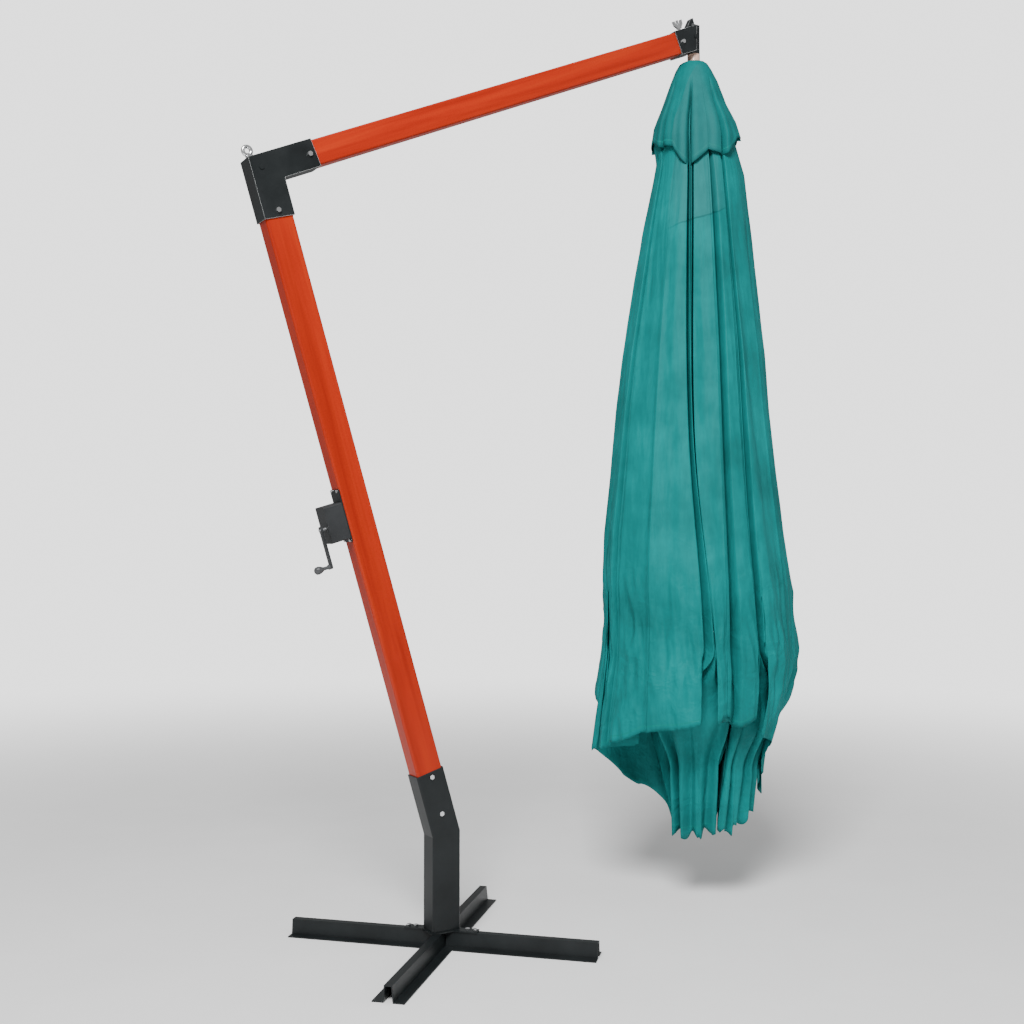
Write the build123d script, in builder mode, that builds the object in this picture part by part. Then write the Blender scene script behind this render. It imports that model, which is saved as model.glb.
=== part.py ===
from build123d import *
from math import acos, cos, pi, radians, sin, tan
import os

os.makedirs("parts", exist_ok=True)

# base cross
arm_reach = 443
hat_width = 85
hat_height = 43
hat_top_half = 11
hat_foot_half = 15
sheet = 3
foot_plate_length = 210
foot_plate_width = 30
foot_plate_thick = 4
arm_gap = 0.6
strip_length = 160

# lower post and mast
lean = 16.6
bend_z = 313
mast_depth = 79
mast_width = 55
mast_round = 6
post_wall = 2.7
socket_gap = 0.3
mast_low = 20
post_end = 183
mast_show_end = 1724
mast_high = 1806

# boom
rise = 24.4
elbow_s = 1854
boom_depth = 68.6
boom_width = 55
boom_low = 62
boom_show_low = 148
boom_show_end = 1492
boom_high = 1532
bracket_wall = 3

# cord and sheaves
cord_r = 1.5
channel_r = 3.6
channel_n = -30
boom_channel_h = 20
sheave_r = 16
sheave_rim = 19
sheave_width = 8
sheave_pin_r = 4
fit_gap = 0.05

# canopy
axis_x = 915
pivot_r = 40
pivot_z = 2575
rib_angle = 5
rib_half = 6
rib_deep = 18
side_rib = 1400
corner_rib = 1980
strut_length = 620
strut_near = 7
strut_far = 11
strut_deep = 14
pin_r = 3
runner_z = pivot_z - 2 * strut_length * cos(radians(rib_angle))
stem_top = runner_z + 430
hub_r = 49
hub_half = 12

# winch
winch_s = 917
plate_s = 929
crank_s = 909
plate_thick = 4
plate_long = 145
case_wide = 56
case_long = 100
case_deep = 54
case_wall = 2.5
drum_y = -8
module = 1.2
gear_teeth = 26
pinion_teeth = 12
gear_distance = module * (gear_teeth + pinion_teeth) / 2
drum_s = crank_s + gear_distance
crank_reach = 100
crank_stand = 11
shaft_r = 4

# bolts
bolt_r = 4
head_r = 7
head_high = 5


def mast_point(s, n=0, y=0):
    x = -s * sin(radians(lean)) + n * cos(radians(lean))
    z = bend_z + s * cos(radians(lean)) + n * sin(radians(lean))
    return (x, y, z)


def mast_plane(s, n=0, y=0):
    a = radians(lean)
    return Plane(origin=mast_point(s, n, y), x_dir=(cos(a), 0, sin(a)), z_dir=(-sin(a), 0, cos(a)))


def rear_plane(s, n, y=0):
    """A plane on the mast's rear side: its normal points away from the mast."""
    a = radians(lean)
    return Plane(origin=mast_point(s, n, y), x_dir=(0, 1, 0), z_dir=(-cos(a), 0, -sin(a)))


def boom_point(t, h=0, y=0):
    b = radians(rise)
    ex, ey, ez = mast_point(elbow_s)
    return (ex + t * cos(b) - h * sin(b), y, ez + t * sin(b) + h * cos(b))


def boom_plane(t, h=0, y=0):
    b = radians(rise)
    return Plane(origin=boom_point(t, h, y), x_dir=(sin(b), 0, -cos(b)), z_dir=(cos(b), 0, sin(b)))


def meet(p, a, q, b):
    """Where the line through p at angle a meets the line through q at angle b, in the XZ plane."""
    ax, az = cos(a), sin(a)
    bx, bz = cos(b), sin(b)
    k = ((q[0] - p[0]) * bz - (q[1] - p[1]) * bx) / (ax * bz - az * bx)
    return (p[0] + k * ax, p[1] + k * az)


def flat(point):
    return (point[0], point[2])


def rib_azimuth(k):
    return radians(45 * k)


def radial_plane(k, r, z, tilt):
    """A plane at radius r and height z on rib k: local x runs down the rib at tilt from straight down."""
    f = rib_azimuth(k)
    t = radians(tilt)
    return Plane(
        origin=(axis_x + r * cos(f), r * sin(f), z),
        x_dir=(sin(t) * cos(f), sin(t) * sin(f), -cos(t)),
        z_dir=(sin(f), -cos(f), 0),
    )


def save(builder, name):
    builder.part.label = name
    export_step(builder.part, f"parts/{name}.step")


hat_points = (
    (-hat_width / 2, 0),
    (-hat_foot_half + sheet, 0),
    (-hat_top_half + sheet, hat_height - sheet),
    (hat_top_half - sheet, hat_height - sheet),
    (hat_foot_half - sheet, 0),
    (hat_width / 2, 0),
    (hat_width / 2, sheet),
    (hat_foot_half, sheet),
    (hat_top_half, hat_height),
    (-hat_top_half, hat_height),
    (-hat_foot_half, sheet),
    (-hat_width / 2, sheet),
)


def beam_plane(angle, start):
    a = radians(angle)
    return Plane(
        origin=(start * cos(a), start * sin(a), 0),
        x_dir=(-sin(a), cos(a), 0),
        z_dir=(cos(a), sin(a), 0),
    )


arm_bolts = (75, 95)
beam_bolts = (-22, 22)

with BuildPart() as base_beam_long:
    with BuildSketch(beam_plane(45, -arm_reach)):
        with BuildLine():
            Polyline(*hat_points, close=True)
        make_face()
    extrude(amount=2 * arm_reach)
    with BuildSketch():
        Rectangle(strip_length, 2 * hat_foot_half, rotation=45)
    extrude(amount=sheet)
    with BuildSketch(Plane.XY.offset(hat_height - 2 * sheet)):
        for u in beam_bolts:
            with Locations((u * cos(radians(45)), u * sin(radians(45)))):
                Circle(bolt_r + 0.3)
    extrude(amount=3 * sheet, mode=Mode.SUBTRACT)
save(base_beam_long, "base_beam_long")


# the short arms' crowns run on over the long beam's flanges, up to its walls
crown_low = sheet + 0.4
crown_points = (
    (-hat_foot_half, crown_low),
    (-hat_top_half, hat_height),
    (hat_top_half, hat_height),
    (hat_foot_half, crown_low),
    (hat_foot_half - sheet, crown_low),
    (hat_top_half - sheet, hat_height - sheet),
    (-hat_top_half + sheet, hat_height - sheet),
    (-hat_foot_half + sheet, crown_low),
)


def short_arm(angle, name):
    start = hat_width / 2 + arm_gap
    crown_start = hat_foot_half + 1
    with BuildPart() as arm:
        with BuildSketch(beam_plane(angle, crown_start)):
            with BuildLine():
                Polyline(*crown_points, close=True)
            make_face()
        extrude(amount=start - crown_start + 1)
        with BuildSketch(beam_plane(angle, start)):
            with BuildLine():
                Polyline(*hat_points, close=True)
            make_face()
        extrude(amount=arm_reach - start)
        with BuildSketch(Plane.XY.offset(hat_height - 2 * sheet)):
            for u in arm_bolts:
                with Locations((u * cos(radians(angle)), u * sin(radians(angle)))):
                    Circle(bolt_r + 0.3)
        extrude(amount=3 * sheet, mode=Mode.SUBTRACT)
    save(arm, name)


short_arm(135, "base_arm_left")
short_arm(-45, "base_arm_right")


def bolts_at(planes, length, name):
    with BuildPart(*planes) as bolts:
        with BuildSketch(*planes):
            RegularPolygon(head_r, 6)
        extrude(amount=head_high)
        with BuildSketch(*planes):
            Circle(bolt_r)
        extrude(amount=-length - head_high - 3)
        with BuildSketch(*[p.offset(-length) for p in planes]):
            RegularPolygon(head_r, 6)
            Circle(bolt_r + fit_gap, mode=Mode.SUBTRACT)
        extrude(amount=-head_high, mode=Mode.ADD)
    save(bolts, name)


plate_top = hat_height + foot_plate_thick
base_bolt_planes = []
for u in (-95, -75, 75, 95):
    base_bolt_planes.append(
        Plane(origin=(u * cos(radians(135)), u * sin(radians(135)), plate_top), z_dir=(0, 0, 1))
    )
for u in beam_bolts:
    base_bolt_planes.append(
        Plane(origin=(u * cos(radians(45)), u * sin(radians(45)), plate_top), z_dir=(0, 0, 1))
    )
bolts_at(base_bolt_planes, foot_plate_thick + sheet, "base_bolts")

# lower post: foot plate and bent rectangular tube
post_in = mast_depth / 2 + socket_gap
post_out = post_in + post_wall
post_side_in = mast_width / 2 + socket_gap
post_side_out = post_side_in + post_wall
post_bolt_s = (169, 61)


def post_points(d, low, high):
    k = d * tan(radians(lean) / 2)
    return (
        (-d, low),
        (d, low),
        (d, bend_z + k),
        flat(mast_point(high, d)),
        flat(mast_point(high, -d)),
        (-d, bend_z - k),
    )


with BuildPart() as lower_post:
    with BuildSketch(Plane.XZ):
        with BuildLine():
            Polyline(*post_points(post_out, plate_top - 1, post_end), close=True)
        make_face()
    extrude(amount=post_side_out, both=True)
    edges = lower_post.edges().filter_by(lambda e: abs(abs(e.center().Y) - post_side_out) < 0.1)
    along = edges.filter_by(lambda e: abs((e @ 1 - e @ 0).Z) > 20)
    fillet(along, 5)
    with BuildSketch(Plane.XY.offset(hat_height)):
        Rectangle(foot_plate_width, foot_plate_length, rotation=45)
        Rectangle(2 * post_out + 12, 2 * post_side_out + 12)
    extrude(amount=foot_plate_thick)
    with BuildSketch(Plane.XZ):
        with BuildLine():
            Polyline(*post_points(post_in, plate_top, post_end + 5), close=True)
        make_face()
    extrude(amount=post_side_in, both=True, mode=Mode.SUBTRACT)
    with BuildSketch(Plane.XY.offset(hat_height)):
        for p in base_bolt_planes:
            with Locations((p.origin.X, p.origin.Y)):
                Circle(bolt_r + 0.3)
    extrude(amount=foot_plate_thick, mode=Mode.SUBTRACT)
    for s in post_bolt_s:
        with BuildSketch(Plane(origin=mast_point(s, 0, 0), z_dir=(0, -1, 0))):
            Circle(bolt_r + 0.3)
        extrude(amount=post_side_out + 5, both=True, mode=Mode.SUBTRACT)
save(lower_post, "lower_post")

bolts_at(
    [Plane(origin=mast_point(s, 0, -post_side_out), z_dir=(0, -1, 0)) for s in post_bolt_s],
    2 * post_side_out,
    "post_bolts",
)

# mast with its cord channel and the mortise of the drum
elbow_bolt_s = 1742
elbow_bolt_t = 130
end_bolt_t = 1512
with BuildPart() as mast:
    with BuildSketch(mast_plane(mast_low)):
        RectangleRounded(mast_depth, mast_width, mast_round)
    extrude(amount=mast_high - mast_low)
    with BuildSketch(mast_plane(drum_s, channel_n)):
        Circle(channel_r)
    extrude(amount=mast_high - drum_s, mode=Mode.SUBTRACT)
    with BuildSketch(rear_plane(drum_s, -mast_depth / 2 - 1, drum_y)):
        Rectangle(27, 28)
    extrude(amount=-21, mode=Mode.SUBTRACT)
    for s in (*post_bolt_s, elbow_bolt_s):
        with BuildSketch(Plane(origin=mast_point(s, 0, 0), z_dir=(0, -1, 0))):
            Circle(bolt_r + 0.3)
        extrude(amount=mast_width, both=True, mode=Mode.SUBTRACT)
save(mast, "mast")

# elbow bracket: two box legs welded into one corner
leg_out = post_out
leg_in = mast_depth / 2 + socket_gap
arm_in = boom_depth / 2 + socket_gap
arm_out = arm_in + bracket_wall
side_in = mast_width / 2 + socket_gap
side_out = side_in + bracket_wall
mast_way = radians(90 + lean)
boom_way = radians(rise)


def elbow_points(leg, arm, low, high):
    rear_low = flat(mast_point(low, -leg))
    front_low = flat(mast_point(low, leg))
    top_end = flat(boom_point(high, arm))
    low_end = flat(boom_point(high, -arm))
    outer = meet(rear_low, mast_way, top_end, boom_way)
    inner = meet(front_low, mast_way, low_end, boom_way)
    return (rear_low, front_low, inner, low_end, top_end, outer)


elbow_hub_n = channel_n + sheave_r
elbow_turn = radians(rise - lean)
elbow_hub_h = boom_channel_h - sheave_r
elbow_hub_s = elbow_s + (elbow_hub_h + elbow_hub_n * sin(elbow_turn)) / cos(elbow_turn)
elbow_hub = mast_point(elbow_hub_s, elbow_hub_n)
eye_t = -21

with BuildPart() as elbow_bracket:
    with BuildSketch(Plane.XZ):
        with BuildLine():
            Polyline(*elbow_points(leg_out, arm_out, mast_show_end, boom_show_low), close=True)
        make_face()
    extrude(amount=side_out, both=True)
    with BuildSketch(Plane.XZ):
        with BuildLine():
            Polyline(*elbow_points(leg_in, arm_in, mast_show_end - 5, boom_show_low + 5), close=True)
        make_face()
    extrude(amount=side_in, both=True, mode=Mode.SUBTRACT)
    for centre in (mast_point(elbow_bolt_s), boom_point(elbow_bolt_t)):
        with BuildSketch(Plane(origin=centre, z_dir=(0, -1, 0))):
            Circle(bolt_r + 0.3)
        extrude(amount=side_out + 5, both=True, mode=Mode.SUBTRACT)
    with BuildSketch(Plane(origin=elbow_hub, z_dir=(0, -1, 0))):
        Circle(sheave_pin_r + 0.02)
    extrude(amount=side_out + 5, both=True, mode=Mode.SUBTRACT)
    b = radians(rise)
    top_face = Plane(origin=boom_point(eye_t, arm_out + 1), z_dir=(-sin(b), 0, cos(b)))
    with BuildSketch(top_face):
        Circle(4.05)
    extrude(amount=-bracket_wall - 2, mode=Mode.SUBTRACT)
save(elbow_bracket, "elbow_bracket")

bolts_at(
    [
        Plane(origin=mast_point(elbow_bolt_s, 0, -side_out), z_dir=(0, -1, 0)),
        Plane(origin=boom_point(elbow_bolt_t, 0, -side_out), z_dir=(0, -1, 0)),
    ],
    2 * side_out,
    "elbow_bolts",
)

# eye bolt on the outer corner of the elbow
b = radians(rise)
eye_ring_high = 19
eye_seat = Plane(origin=boom_point(eye_t, arm_out), x_dir=(0, 1, 0), z_dir=(-sin(b), 0, cos(b)))
with BuildPart() as elbow_eye:
    with BuildSketch(eye_seat.offset(-9)):
        Circle(4)
    extrude(amount=16)
    with BuildSketch(eye_seat):
        RegularPolygon(10, 6)
    extrude(amount=7)
    with Locations(Plane(origin=boom_point(eye_t, arm_out + eye_ring_high), z_dir=(0, 1, 0))):
        Torus(11, 5)
save(elbow_eye, "elbow_eye")


def sheave(centre, name):
    """A grooved wheel on the Y axis through centre."""
    side = Plane(origin=centre, x_dir=(1, 0, 0), z_dir=(0, -1, 0))
    with BuildPart() as wheel:
        with BuildSketch(side):
            Circle(sheave_rim)
            Circle(sheave_pin_r + fit_gap, mode=Mode.SUBTRACT)
        extrude(amount=sheave_width / 2, both=True)
        with Locations(Plane(origin=centre, z_dir=(0, 1, 0))):
            Torus(sheave_r, cord_r + 0.3, mode=Mode.SUBTRACT)
        with BuildSketch(side):
            Circle(sheave_rim + 1)
            Circle(sheave_r, mode=Mode.SUBTRACT)
        extrude(amount=cord_r + 0.3, both=True, mode=Mode.SUBTRACT)
    save(wheel, name)


def sheave_pin(centre, reach, name):
    """A headed pin across the bracket, with two spacers that keep the wheel central."""
    with BuildPart() as pin:
        with BuildSketch(Plane(origin=(centre[0], -reach, centre[2]), z_dir=(0, -1, 0))):
            Circle(sheave_pin_r + 2.5)
        extrude(amount=2.5)
        with BuildSketch(Plane(origin=(centre[0], -reach, centre[2]), z_dir=(0, 1, 0))):
            Circle(sheave_pin_r)
        extrude(amount=2 * reach + 2)
        for y, way in ((-sheave_width / 2 - 0.2, -1), (sheave_width / 2 + 0.2, 1)):
            with BuildSketch(Plane(origin=(centre[0], y, centre[2]), z_dir=(0, way, 0))):
                Circle(sheave_pin_r + 2.5)
            extrude(amount=3)
    save(pin, name)


sheave(elbow_hub, "elbow_sheave")
sheave_pin(elbow_hub, side_out, "elbow_sheave_pin")

# boom with its cord channel
with BuildPart() as boom:
    with BuildSketch(boom_plane(boom_low)):
        RectangleRounded(boom_depth, boom_width, mast_round)
    extrude(amount=boom_high - boom_low)
    with BuildSketch(boom_plane(boom_low, boom_channel_h)):
        Circle(channel_r)
    extrude(amount=boom_high - boom_low, mode=Mode.SUBTRACT)
    for t in (elbow_bolt_t, end_bolt_t):
        with BuildSketch(Plane(origin=boom_point(t), z_dir=(0, -1, 0))):
            Circle(bolt_r + 0.3)
        extrude(amount=boom_width, both=True, mode=Mode.SUBTRACT)
save(boom, "boom")

# end bracket: a box on the boom's end, welded to an upright square sleeve
sleeve_half = 14
sleeve_bore = 11
sleeve_low = 2695
sleeve_top = 2790
lug_top = 2811
box_end = axis_x - sleeve_half + 2
wing_t = 1542
end_hub_x = axis_x - sheave_r
end_hub_h = boom_channel_h - sheave_r
elbow_top = mast_point(elbow_s)
end_hub_t = (end_hub_x - elbow_top[0] + end_hub_h * sin(b)) / cos(b)
end_hub = boom_point(end_hub_t, end_hub_h)


def boom_height(x, h):
    """The height of the line at h above the boom's axis, at x."""
    return elbow_top[2] + (x - elbow_top[0]) * tan(b) + h / cos(b)


with BuildPart() as end_bracket:
    with BuildSketch(Plane.XZ):
        with BuildLine():
            Polyline(
                flat(boom_point(boom_show_end, -arm_out)),
                (box_end, boom_height(box_end, -arm_out)),
                (box_end, boom_height(box_end, arm_out)),
                flat(boom_point(boom_show_end, arm_out)),
                close=True,
            )
        make_face()
    extrude(amount=side_out, both=True)
    with BuildSketch(Plane.XZ):
        with BuildLine():
            Polyline(
                (box_end - 26, boom_height(box_end - 26, arm_out - 2)),
                (box_end + 2, boom_height(box_end, arm_out - 2)),
                (box_end + 8, lug_top - 16),
                (box_end + 2, lug_top),
                (box_end - 6, lug_top - 4),
                close=True,
            )
        make_face()
    extrude(amount=9, both=True)
    with BuildSketch(Plane.XY.offset(sleeve_low)):
        with Locations((axis_x, 0)):
            Rectangle(2 * sleeve_half, 2 * sleeve_half)
    extrude(amount=sleeve_top - sleeve_low)
    with BuildSketch(boom_plane(boom_show_end - 5)):
        Rectangle(2 * arm_in, 2 * side_in)
    extrude(amount=boom_high + 2 - boom_show_end + 5, mode=Mode.SUBTRACT)
    with BuildSketch(Plane.XZ):
        with Locations(flat(end_hub)):
            Circle(sheave_rim + 2)
    extrude(amount=8, both=True, mode=Mode.SUBTRACT)
    with BuildSketch(boom_plane(boom_high, boom_channel_h)):
        Circle(channel_r + 1)
    extrude(amount=end_hub_t - boom_high, mode=Mode.SUBTRACT)
    with BuildSketch(Plane.XY.offset(sleeve_low)):
        with Locations((axis_x, 0)):
            Circle(sleeve_bore + fit_gap)
    extrude(amount=25, mode=Mode.SUBTRACT)
    with BuildSketch(Plane.XY.offset(sleeve_low)):
        with Locations((axis_x, 0)):
            Circle(channel_r)
    extrude(amount=end_hub[2] - sleeve_low, mode=Mode.SUBTRACT)
    with BuildSketch(Plane(origin=boom_point(end_bolt_t), z_dir=(0, -1, 0))):
        Circle(bolt_r + 0.3)
    extrude(amount=side_out + 5, both=True, mode=Mode.SUBTRACT)
    with BuildSketch(Plane(origin=end_hub, z_dir=(0, -1, 0))):
        Circle(sheave_pin_r + 0.02)
    extrude(amount=side_out + 5, both=True, mode=Mode.SUBTRACT)
    with BuildSketch(Plane(origin=boom_point(wing_t, arm_out + 1), z_dir=(-sin(b), 0, cos(b)))):
        Circle(4.05)
    extrude(amount=-bracket_wall - 2, mode=Mode.SUBTRACT)
save(end_bracket, "end_bracket")

bolts_at(
    [Plane(origin=boom_point(end_bolt_t, 0, -side_out), z_dir=(0, -1, 0))],
    2 * side_out,
    "end_bolt",
)
sheave(end_hub, "end_sheave")
sheave_pin(end_hub, side_out, "end_sheave_pin")

# wing nut and its stud on the boom's end
wing_seat = Plane(origin=boom_point(wing_t, arm_out), x_dir=(cos(b), 0, sin(b)), z_dir=(-sin(b), 0, cos(b)))
with BuildPart() as wing_nut:
    with BuildSketch(wing_seat.offset(-3)):
        Circle(4)
    extrude(amount=37)
    with BuildSketch(wing_seat.offset(7)):
        Circle(9)
        Circle(4 + fit_gap, mode=Mode.SUBTRACT)
    extrude(amount=14)
    wing_side = Plane(
        origin=boom_point(wing_t, arm_out), x_dir=(cos(b), 0, sin(b)), z_dir=(0, -1, 0)
    )
    with BuildSketch(wing_side):
        for way in (-1, 1):
            with BuildLine():
                Polyline(
                    (way * 8, 9),
                    (way * 18, 19),
                    (way * 20, 33),
                    (way * 12, 33),
                    (way * 8, 20),
                    close=True,
                )
            make_face()
    extrude(amount=3, both=True)
save(wing_nut, "wing_nut")

# hanging collar and top hub
collar_low = 2668
with BuildPart() as hang_collar:
    with BuildSketch(Plane.XY.offset(collar_low)):
        with Locations((axis_x, 0)):
            Circle(20)
            Circle(sleeve_bore + fit_gap, mode=Mode.SUBTRACT)
    extrude(amount=sleeve_low - collar_low)
    rims = hang_collar.edges().filter_by(GeomType.CIRCLE).filter_by(lambda e: e.radius > 15)
    fillet(rims, 3)
save(hang_collar, "hang_collar")


def slotted_wheel(low, high, slot_low, slot_high, slot_root, bore, stem_r, stem_end, name):
    """The hub or the runner: a disc with one slot per rib, open outwards, and a stem on its axis."""
    tall = high - low
    with BuildPart() as wheel:
        with BuildSketch(Plane.XY.offset(low)):
            with Locations((axis_x, 0)):
                Circle(hub_r)
        extrude(amount=tall)
        with BuildSketch(Plane.XY.offset(low)):
            with Locations((axis_x, 0)):
                Circle(stem_r)
        extrude(amount=stem_end - low)
        with BuildSketch(Plane.XY.offset(low)):
            with Locations((axis_x, 0)):
                Circle(bore)
        extrude(amount=stem_end - low, mode=Mode.SUBTRACT)
        for k in range(1, 9):
            with BuildSketch(radial_plane(k, 0, (low + high) / 2, 0).offset(slot_low)):
                with Locations((0, slot_root + 20)):
                    Rectangle(tall + 2, 40)
            extrude(amount=slot_high - slot_low, mode=Mode.SUBTRACT)
            with BuildSketch(radial_plane(k, pivot_r, (low + high) / 2, 0).offset(-15)):
                Circle(pin_r + 0.02)
            extrude(amount=31, mode=Mode.SUBTRACT)
    save(wheel, name)


def hinge_pins(z, start, length, name):
    with BuildPart() as pins:
        for k in range(1, 9):
            with BuildSketch(radial_plane(k, pivot_r, z, 0).offset(start)):
                Circle(pin_r)
            extrude(amount=length)
    save(pins, name)


slotted_wheel(
    pivot_z - hub_half,
    pivot_z + hub_half,
    -rib_half - 0.4,
    rib_half + 0.4,
    pivot_r - rib_deep / 2 - 0.8,
    channel_r,
    sleeve_bore,
    sleeve_low + 24,
    "top_hub",
)
hinge_pins(pivot_z, -14, 28, "hub_pins")
slotted_wheel(
    runner_z - hub_half,
    runner_z + hub_half,
    strut_near - 0.5,
    strut_far + 0.5,
    pivot_r - strut_deep / 2 - 0.8,
    channel_r,
    8,
    stem_top,
    "runner",
)
hinge_pins(runner_z, 1, 14, "runner_pins")


# ribs and struts
def rib(k):
    long = corner_rib if k % 2 else side_rib
    with BuildPart() as bar:
        side = radial_plane(k, pivot_r, pivot_z, rib_angle)
        with BuildSketch(side):
            Circle(rib_deep / 2)
            with Locations((long / 2, 0)):
                Rectangle(long, rib_deep)
            Circle(pin_r + fit_gap, mode=Mode.SUBTRACT)
            with Locations((strut_length, 0)):
                Circle(pin_r + fit_gap, mode=Mode.SUBTRACT)
        extrude(amount=rib_half, both=True)
        with BuildSketch(side):
            with Locations((long + 11.3, 0)):
                RectangleRounded(22, rib_deep + 2, 4)
        extrude(amount=rib_half + 1, both=True)
    save(bar, f"rib_{k}")


def strut(k):
    tilt = radians(rib_angle)
    joint_r = pivot_r + strut_length * sin(tilt)
    joint_z = pivot_z - strut_length * cos(tilt)
    side = radial_plane(k, joint_r, joint_z, -rib_angle)
    with BuildPart() as strip:
        with BuildSketch(side.offset(strut_near)):
            with Locations((strut_length / 2, 0)):
                SlotCenterToCenter(strut_length, strut_deep)
            with Locations((0, 0), (strut_length, 0)):
                Circle(pin_r + fit_gap, mode=Mode.SUBTRACT)
        extrude(amount=strut_far - strut_near)
        with BuildSketch(side.offset(-rib_half - 0.4)):
            Circle(pin_r)
        extrude(amount=strut_far + rib_half + 1)
        with BuildSketch(side.offset(-rib_half - 2.4), side.offset(strut_far + 0.4)):
            Circle(pin_r + 2)
        extrude(amount=2)
    save(strip, f"strut_{k}")


for k in range(1, 9):
    rib(k)
    strut(k)


# canopy: one furled half-gore pair per rib, with its petal of the vent cap
sector = 44.2


cloth_thick = 5
corner_outline = (
    (75, 2548),
    (116, 2395),
    (140, 2294),
    (169, 2100),
    (221, 1720),
    (263, 1338),
    (293, 956),
    (300, 765),
    (292, 574),
    (262, 450),
    (170, 287),
    (120, 215),
)
side_outline = (
    (75, 2548),
    (116, 2395),
    (140, 2294),
    (169, 2100),
    (221, 1720),
    (263, 1338),
    (292, 1000),
    (290, 940),
)
mast_side_outline = (
    (75, 2548),
    (116, 2395),
    (140, 2294),
    (169, 2100),
    (221, 1720),
    (263, 1338),
    (268, 1260),
    (240, 1150),
)
petal_outline = (
    (72, 2543),
    (87, 2545),
    (110, 2490),
    (140, 2405),
    (141, 2392),
    (127, 2392),
    (92, 2490),
)


def gore(k):
    start = rib_azimuth(k) - radians(sector / 2)
    upright = Plane(
        origin=(axis_x, 0, 0),
        x_dir=(cos(start), sin(start), 0),
        z_dir=(sin(start), -cos(start), 0),
    )
    if k % 2:
        outline = corner_outline
    elif k == 4:
        outline = mast_side_outline
    else:
        outline = side_outline
    with BuildPart() as cloth:
        inside = [(r - cloth_thick, z) for r, z in reversed(outline)]
        for points in ((*outline, *inside), petal_outline):
            with BuildSketch(upright):
                with BuildLine():
                    Polyline(*points, close=True)
                make_face()
            revolve(axis=Axis((axis_x, 0, 0), (0, 0, 1)), revolution_arc=sector)
    save(cloth, f"canopy_{k}")


for k in range(1, 9):
    gore(k)

with BuildPart() as canopy_top:
    with BuildSketch(Plane.XZ):
        with BuildLine():
            Polyline(
                (axis_x + 13, 2591),
                (axis_x + 62, 2591),
                (axis_x + 64, 2602),
                (axis_x + 57, 2640),
                (axis_x + 45, 2657),
                (axis_x + 30, 2664),
                (axis_x + 13, 2666),
                close=True,
            )
        make_face()
    revolve(axis=Axis((axis_x, 0, 0), (0, 0, 1)))
save(canopy_top, "canopy_top")

# winch on the mast's rear face
rear = mast_depth / 2
with BuildPart() as winch_plate:
    with BuildSketch(rear_plane(plate_s, -rear)):
        RectangleRounded(case_wide - 2, plate_long, 4)
    extrude(amount=plate_thick)
    with BuildSketch(rear_plane(drum_s, -rear, drum_y), rear_plane(crank_s, -rear, drum_y)):
        Circle(shaft_r + fit_gap)
    extrude(amount=plate_thick, mode=Mode.SUBTRACT)
    with BuildSketch(rear_plane(plate_s, -rear)):
        with GridLocations(36, 136, 2, 2):
            Circle(2.6)
    extrude(amount=plate_thick, mode=Mode.SUBTRACT)
save(winch_plate, "winch_plate")

case_foot = -rear - plate_thick
with BuildPart() as winch_case:
    with BuildSketch(rear_plane(winch_s, case_foot)):
        RectangleRounded(case_wide, case_long, 5)
        RectangleRounded(case_wide - 2 * case_wall, case_long - 2 * case_wall, 3, mode=Mode.SUBTRACT)
    extrude(amount=case_deep)
    with BuildSketch(rear_plane(winch_s, case_foot - case_deep + case_wall)):
        RectangleRounded(case_wide, case_long, 5)
    extrude(amount=case_wall)
    with BuildSketch(rear_plane(crank_s, case_foot - case_deep + 6, drum_y)):
        Circle(9)
    extrude(amount=4)
    with BuildSketch(rear_plane(crank_s, case_foot - case_deep + 7, drum_y)):
        Circle(shaft_r + fit_gap)
    extrude(amount=8, mode=Mode.SUBTRACT)
save(winch_case, "winch_case")

with BuildPart() as winch_screws:
    for u in (-18, 18):
        for v in (-68, 68):
            with BuildSketch(rear_plane(plate_s + v, case_foot, u)):
                Circle(4.2)
            extrude(amount=2.4)
            with BuildSketch(rear_plane(plate_s + v, case_foot, u)):
                Circle(2.5)
            extrude(amount=-plate_thick)
save(winch_screws, "winch_screws")

drum_mid = channel_n
gear_face = case_foot - 8
gear_wide = 8
with BuildPart() as winch_drum:
    with BuildSketch(rear_plane(drum_s, drum_mid + 6, drum_y)):
        Circle(6.4)
    extrude(amount=12)
    with BuildSketch(
        rear_plane(drum_s, drum_mid + 8, drum_y), rear_plane(drum_s, drum_mid - 6, drum_y)
    ):
        Circle(12)
    extrude(amount=2)
    with BuildSketch(rear_plane(drum_s, drum_mid, drum_y)):
        Circle(shaft_r)
    extrude(amount=drum_mid - gear_face + gear_wide + 2)
save(winch_drum, "winch_drum")


def involute(base, radius):
    """The polar angle of an involute of the base circle, where it reaches radius."""
    if radius <= base:
        return 0
    a = acos(base / radius)
    return tan(a) - a


def gear(place, teeth, phase, bore, name):
    """A spur gear on a plane, with short involute teeth and a little backlash."""
    pitch = module * teeth / 2
    base = pitch * cos(radians(20))
    tip = pitch + 0.8 * module
    root = pitch - 1.1 * module
    half = pi / (2 * teeth) - 0.12 / pitch
    steps = [max(base, root) + i * (tip - max(base, root)) / 5 for i in range(6)]
    points = []
    for t in range(teeth):
        mid = phase + 2 * pi * t / teeth
        side = []
        if root < base:
            side.append((root, half + involute(base, pitch)))
        for r in steps:
            side.append((r, half + involute(base, pitch) - involute(base, r)))
        for r, a in side:
            points.append((r * cos(mid - a), r * sin(mid - a)))
        for r, a in reversed(side):
            points.append((r * cos(mid + a), r * sin(mid + a)))
    with BuildPart() as wheel:
        with BuildSketch(place):
            with BuildLine():
                Polyline(*points, close=True)
            make_face()
            Circle(bore, mode=Mode.SUBTRACT)
        extrude(amount=gear_wide)
    save(wheel, name)


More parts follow.
